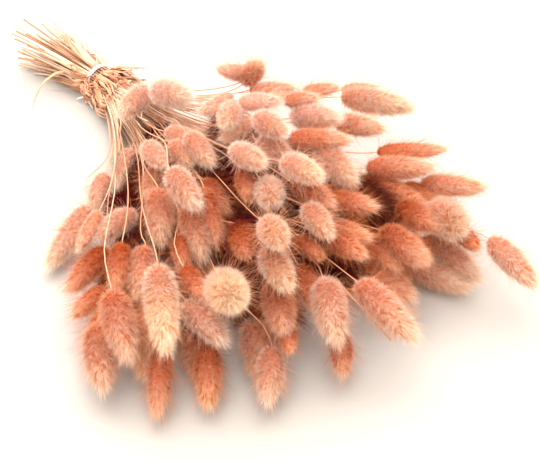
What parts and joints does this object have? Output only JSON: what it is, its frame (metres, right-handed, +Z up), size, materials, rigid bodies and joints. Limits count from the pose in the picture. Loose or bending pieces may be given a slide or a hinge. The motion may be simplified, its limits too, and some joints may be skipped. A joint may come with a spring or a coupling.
{
  "type": "dried bunny tail grass bunch",
  "caption": "Tied bunch of coral-dyed dried bunny tail grass lying on its side: soft oval heads fan out on thin straw stems gathered with a pale string.",
  "frame": {"origin": "on the surface that the bunch lies on, under the middle of the string", "axes": "+Z up; the cut ends of the stems point along +Y and the heads fan out along -Y; +X to the right when looking along +Y"},
  "size_m": [0.2966, 0.4726, 0.0923],
  "materials": {
    "heads": "soft fluffy awns, dyed coral pink",
    "straw": "dry satin straw",
    "string": "matt cotton string"
  },
  "bodies": {
    "root": {"heads_a1": "heads", "heads_a10": "heads", "heads_a11": "heads", "heads_a13": "heads", "heads_a14": "heads", "heads_a15": "heads", "heads_a16": "heads", "heads_a2": "heads", "heads_a3": "heads", "heads_a4": "heads", "heads_a5": "heads", "heads_a6": "heads", "heads_a8": "heads", "heads_a9": "heads", "heads_b10": "heads", "heads_b11": "heads", "heads_b12": "heads", "heads_b13": "heads", "heads_b14": "heads", "heads_b15": "heads", "heads_b16": "heads", "heads_b18": "heads", "heads_b1a": "heads", "heads_b2": "heads", "heads_b3": "heads", "heads_b4": "heads", "heads_b5": "heads", "heads_b6": "heads", "heads_b8": "heads", "heads_b9": "heads", "heads_c1": "heads", "heads_c12": "heads", "heads_c2": "heads", "heads_c3": "heads", "heads_c5": "heads", "heads_c6": "heads", "heads_c7": "heads", "heads_c8": "heads", "heads_d1": "heads", "heads_d10": "heads", "heads_d2": "heads", "heads_d3": "heads", "heads_d4": "heads", "heads_d6": "heads", "heads_d7": "heads", "heads_d8": "heads", "heads_d9": "heads", "heads_e1": "heads", "heads_e10": "heads", "heads_e11": "heads", "heads_e12": "heads", "heads_e13": "heads", "heads_e2": "heads", "heads_e3": "heads", "heads_e4": "heads", "heads_e6": "heads", "heads_e8": "heads", "heads_e9": "heads", "stems_and_leaves": "straw", "string": "string"}
  },
  "joints": []
}
